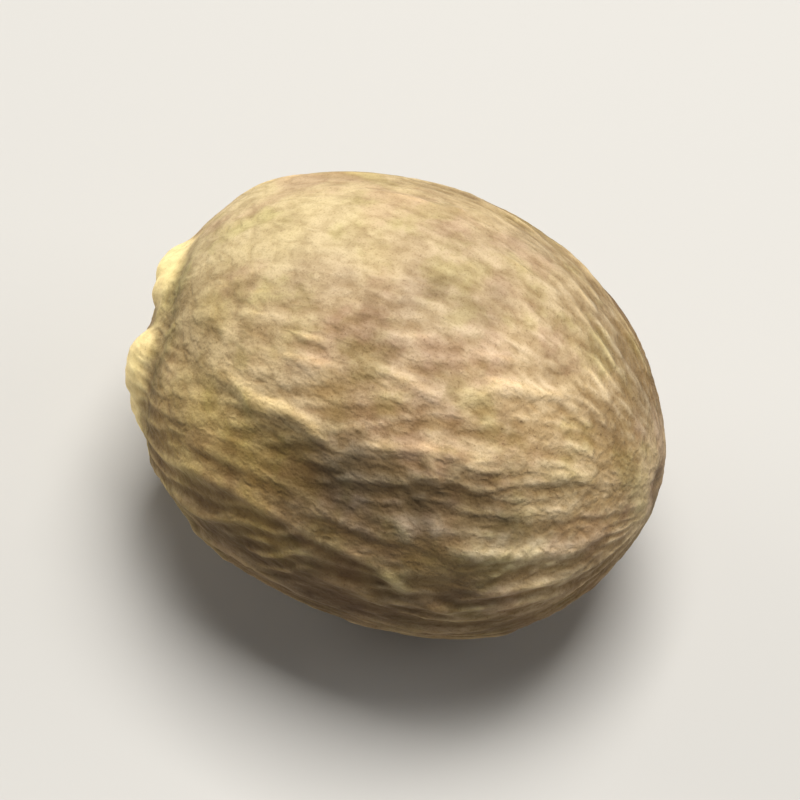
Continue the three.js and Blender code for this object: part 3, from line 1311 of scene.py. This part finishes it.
@dataclass
class Nutmeg:
    """The whole seed: its form, its wrinkles and its skin."""

    node: str = "nutmeg"
    piece_name: str = "nutmeg_kernel"
    grid: SeedGrid = SeedGrid()
    length: float = 28.6 * MM
    width: float = 23.4 * MM
    height: float = 22.5 * MM
    flat_depth: float = 0.42 * MM
    rest_fade: float = 24.0
    skin_rest_fade: float = 12.0
    swellings: Tuple[Swelling, ...] = (
        Swelling(Place(-0.52, 104), 26, 0.2 * MM),
        Swelling(Place(-0.74, 150), 20, 0.45 * MM),
        Swelling(Place(-0.86, -30), 19, 0.34 * MM),
        Swelling(Place(0.28, 84), 34, 0.15 * MM),
        Swelling(Place(0.42, 128), 30, -0.12 * MM),
        Swelling(Place(0.8, 122), 22, -0.35 * MM),
        Swelling(Place(0.45, 18), 30, 0.25 * MM),
        Swelling(Place(-0.5, -24), 26, 0.32 * MM),
        Swelling(Place(-0.3, 178), 32, 0.22 * MM),
        Swelling(Place(0.35, -150), 28, -0.25 * MM),
        Swelling(Place(-0.45, -60), 26, 0.15 * MM),
        Swelling(Place(0.66, -26), 24, 0.5 * MM),
    )
    raphe: Raphe = Raphe()
    hilum: Hilum = Hilum()
    chalaza: Chalaza = Chalaza()
    wrinkled: WrinkledSkin = WrinkledSkin()
    marks: Tuple[SkinMark, ...] = (
        mark(-0.5, 103, 17, 13, (0.64, 0.525, 0.295), 0.95),
        mark(0.2, 112, 12, 9, (0.54, 0.41, 0.26), 0.75),
        mark(0.05, 79, 12, 8, (0.52, 0.385, 0.28), 0.5),
        mark(0.05, 37.5, 8.5, 6.2, (0.12, 0.11, 0.10), 0.95),
        mark(0.29, 35.5, 11, 3.2, (0.18, 0.14, 0.095), 0.7),
        mark(0.13, 35.5, 3.8, 3, (0.15, 0.14, 0.165), 0.85),
        mark(-0.64, 70, 4.6, 4.2, (0.36, 0.27, 0.11), 0.75),
        mark(-0.55, 49, 10, 4, (0.36, 0.25, 0.11), 0.7),
        mark(0.6, 22, 9, 6, (0.52, 0.49, 0.38), 0.6),
        mark(-0.16, -3, 7, 4, (0.42, 0.35, 0.30), 0.5),
        mark(-0.12, 42, 5, 3, (0.2, 0.17, 0.11), 0.6),
        mark(0.4, 49, 6, 3, (0.20, 0.125, 0.07), 0.5),
        # Painted shade: the lower left darker and more olive, partly olive skin.
        mark(-0.42, 26, 14, 11, (0.53, 0.40, 0.14), 0.75),
        # Painted shade: a long dark band along the lower front, darker towards the bottom.
        mark(0.15, -4, 26, 9, (0.22, 0.14, 0.08), 0.78),
        # Painted reflection: a greyish rim at the upper back of the far end.
        mark(0.78, 122, 8, 6, (0.50, 0.45, 0.38), 0.4),
        mark(0.30, 89, 8, 4, (0.46, 0.355, 0.255), 0.75),
        mark(-0.03, 74, 7, 4, (0.66, 0.51, 0.35), 0.6),
        mark(0.12, 66, 7, 4, (0.70, 0.54, 0.37), 0.5),
        # Painted light: a paler patch that lifts the furrows' shade.
        mark(0.57, 68, 7, 3.5, (0.88, 0.70, 0.46), 0.7),
        mark(0.25, 60, 9, 3.5, (0.84, 0.65, 0.44), 0.5),
        mark(0.04, 25, 4.5, 2, (0.64, 0.52, 0.27), 0.6),
        mark(0.86, 34, 5, 3.5, (0.88, 0.76, 0.52), 0.7),
        mark(0.58, 40, 13, 2.6, (0.21, 0.165, 0.105), 0.75),
        mark(-0.61, 83, 4, 3, (0.66, 0.53, 0.32), 0.5),
        # Painted light: the far end made paler, standing in for light reflected onto it.
        mark(0.82, 62, 9, 9, (0.92, 0.73, 0.465), 0.75),
        mark(0.62, 32, 11, 3, (0.78, 0.66, 0.45), 0.4),
        mark(0.75, 60, 5.5, 2.6, (0.50, 0.42, 0.24), 0.5),
        mark(0.54, 83, 10, 7, (0.84, 0.66, 0.42), 0.8),
        mark(-0.36, 56, 9, 3, (0.80, 0.63, 0.38), 0.5),
    )
    skin: KernelSkin = KernelSkin()

    def build(self) -> bpy.types.Object:
        """Makes the seed's mesh, dresses it and hands it to the frame.

        The form and the wrinkles are laid on the ellipsoid along its normals, and both fade
        out by a bell curve of the angle from straight down, around the flat spot.

        Returns:
            The finished piece, which stands for the CAD node.
        """
        half = np.array([self.length, self.width, self.height]) / 2
        seed = Seed(half, self.grid.directions(), self.hilum.mark, self.chalaza.mark)
        LOG.info("grid of %d points", len(seed.points))
        reliefs = (*self.swellings, self.raphe, self.hilum, self.chalaza)
        form = sum(relief.relief(seed) for relief in reliefs)
        wrinkles = self.wrinkled.relief(seed)
        under = np.degrees(np.arccos(np.clip(-seed.directions[:, 2], -1.0, 1.0)))
        form *= 1 - bell(under / self.rest_fade)
        skin = wrinkles.height * (1 - bell(under / self.skin_rest_fade))
        surface = self.settled(seed.points + seed.normals * (form + skin)[:, None])
        piece = self.mesh_object(surface)
        # The furrow and crease shares: the skin's own browner furrows and painted shade.
        self.add_attribute(piece, "furrow_tone_and_shade", wrinkles.furrow_tone_and_shade)
        # The crest share: paler crests and a painted highlight.
        self.add_attribute(piece, "crest", wrinkles.crest)
        self.add_attribute(piece, "crease_tone_and_shade", wrinkles.crease_tone_and_shade)
        self.add_attribute(piece, "scar", self.hilum.cover(seed))
        self.add_tint(piece, seed)
        piece.data.materials.append(self.skin.material())
        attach(piece, "root")
        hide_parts(self.node)
        return piece

    def settled(self, surface: Array) -> Array:
        """Gives the surface its flat spot, and moves and fits it to the CAD node's box.

        Points below the resting plane are lifted to it. Then each axis is scaled and moved so
        that the lowest and highest values are the box's.

        Args:
            surface: The surface's points.

        Returns:
            The points where they belong in the frame.
        """
        plane = -self.height / 2 + self.flat_depth
        surface[:, 2] = np.maximum(surface[:, 2], plane)
        low, high = (np.array(corner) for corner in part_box(self.node))
        at_low, at_high = surface.min(axis=0), surface.max(axis=0)
        LOG.info("fit to the CAD box by %s", np.round((high - low) / (at_high - at_low), 4))
        return low + (surface - at_low) * (high - low) / (at_high - at_low)

    def mesh_object(self, surface: Array) -> bpy.types.Object:
        """Puts the surface into a smooth-shaded mesh on a new object.

        Args:
            surface: The surface's points, in the grid's order.

        Returns:
            The object.
        """
        mesh = bpy.data.meshes.new(self.piece_name)
        mesh.from_pydata(surface.tolist(), [], self.grid.faces())
        mesh.shade_smooth()
        mesh.update()
        piece = bpy.data.objects.new(self.piece_name, mesh)
        bpy.context.scene.collection.objects.link(piece)
        return piece

    @staticmethod
    def add_attribute(piece: bpy.types.Object, name: str, values: Array) -> None:
        """Stores one number from 0 to 1 for each point of the mesh."""
        attribute = piece.data.attributes.new(name, "FLOAT", "POINT")
        attribute.data.foreach_set("value", np.clip(values, 0.0, 1.0).astype(np.float32))

    def add_tint(self, piece: bpy.types.Object, seed: Seed) -> None:
        """Stores the colour of the crests at each point: the skin's own, then every mark.

        Args:
            piece: The object whose mesh gets the attribute.
            seed: The seed.
        """
        tint = np.tile(np.array(self.skin.crest), (len(seed.points), 1))
        for skin_mark in self.marks:
            tint = blended(tint, skin_mark.colour, skin_mark.cover(seed))
        tint = self.hilum.tinted(self.chalaza.tinted(tint, seed), seed)
        colours = np.concatenate([tint, np.ones((len(tint), 1))], axis=1)
        attribute = piece.data.attributes.new("tint", "FLOAT_COLOR", "POINT")
        attribute.data.foreach_set("color", colours.astype(np.float32).ravel())


@dataclass(frozen=True)
class SoftLight:
    """A square soft light that shines at the seed, from the direction `towards`."""

    name: str
    towards: Tuple[float, float, float]
    distance: float
    size: float
    power: float
    colour: Colour = (1.0, 0.98, 0.94)

    def build(self, middle: Vector) -> None:
        """Makes the light.

        Args:
            middle: What it shines at.
        """
        data = bpy.data.lights.new(self.name, "AREA")
        data.size = self.size
        data.energy = self.power
        data.color = self.colour
        lamp = bpy.data.objects.new(self.name, data)
        direction = Vector(self.towards).normalized()
        lamp.location = middle + direction * self.distance
        lamp.rotation_euler = (-direction).to_track_quat("-Z", "Y").to_euler()
        bpy.context.scene.collection.objects.link(lamp)


@dataclass
class Studio:
    """The pale floor, the soft lights and the camera."""

    azimuth: float = 25.0
    elevation: float = 62.0
    lens: float = 180.0
    clipping: Span = (0.01, 10.0)
    frame_width: float = 42 * MM
    floor_size: float = 3.0
    floor_finish: FloorFinish = FloorFinish()
    lights: Tuple[SoftLight, ...] = (
        SoftLight("key_light", (0.01, 0.27, 0.96), 0.45, 0.24, 2.9),
        SoftLight("fill_light", (0.8, 0.4, 0.6), 0.6, 0.3, 0.55, (1.0, 1.0, 1.0)),
        SoftLight("side_light", (-0.97, 0.1, 0.22), 0.6, 0.3, 1.5),
    )
    room_colour: Colour = (1.0, 0.985, 0.96)
    room_strength: float = 0.085

    def build(self, middle: Vector) -> None:
        """Makes the whole studio.

        Args:
            middle: The middle of the seed.
        """
        self.floor()
        self.camera(middle)
        for light in self.lights:
            light.build(middle)
        world = bpy.data.worlds.new("soft_room")
        world.use_nodes = True
        background = world.node_tree.nodes["Background"]
        background.inputs["Color"].default_value = Graph.opaque(self.room_colour)
        background.inputs["Strength"].default_value = self.room_strength
        bpy.context.scene.world = world
        bpy.context.scene.view_settings.view_transform = "Standard"

    def floor(self) -> None:
        """Makes a square plane under the seed."""
        reach = self.floor_size / 2
        corners = [(-reach, -reach, 0), (reach, -reach, 0), (reach, reach, 0), (-reach, reach, 0)]
        mesh = bpy.data.meshes.new("floor")
        mesh.from_pydata(corners, [], [(0, 1, 2, 3)])
        mesh.materials.append(self.floor_finish.material())
        floor = bpy.data.objects.new("floor", mesh)
        bpy.context.scene.collection.objects.link(floor)

    def camera(self, middle: Vector) -> None:
        """Makes a camera that looks down at the seed from the front right.

        Args:
            middle: What it looks at.
        """
        data = bpy.data.cameras.new("camera")
        data.lens = self.lens
        data.clip_start, data.clip_end = self.clipping
        camera = bpy.data.objects.new("camera", data)
        turn, rise = math.radians(self.azimuth), math.radians(self.elevation)
        back = Vector(
            (math.sin(turn) * math.cos(rise), -math.cos(turn) * math.cos(rise), math.sin(rise))
        )
        distance = self.frame_width * self.lens / data.sensor_width
        camera.location = middle + back * distance
        camera.rotation_euler = (-back).to_track_quat("-Z", "Y").to_euler()
        bpy.context.scene.collection.objects.link(camera)
        bpy.context.scene.camera = camera


def main() -> None:
    """Builds the seed and the studio."""
    logging.basicConfig(level=logging.INFO, format="%(message)s")
    nutmeg = Nutmeg()
    piece = nutmeg.build()
    LOG.info("%s: %d faces", piece.name, len(piece.data.polygons))
    low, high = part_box(nutmeg.node)
    Studio().build((low + high) / 2)


if __name__ == "__main__":
    main()
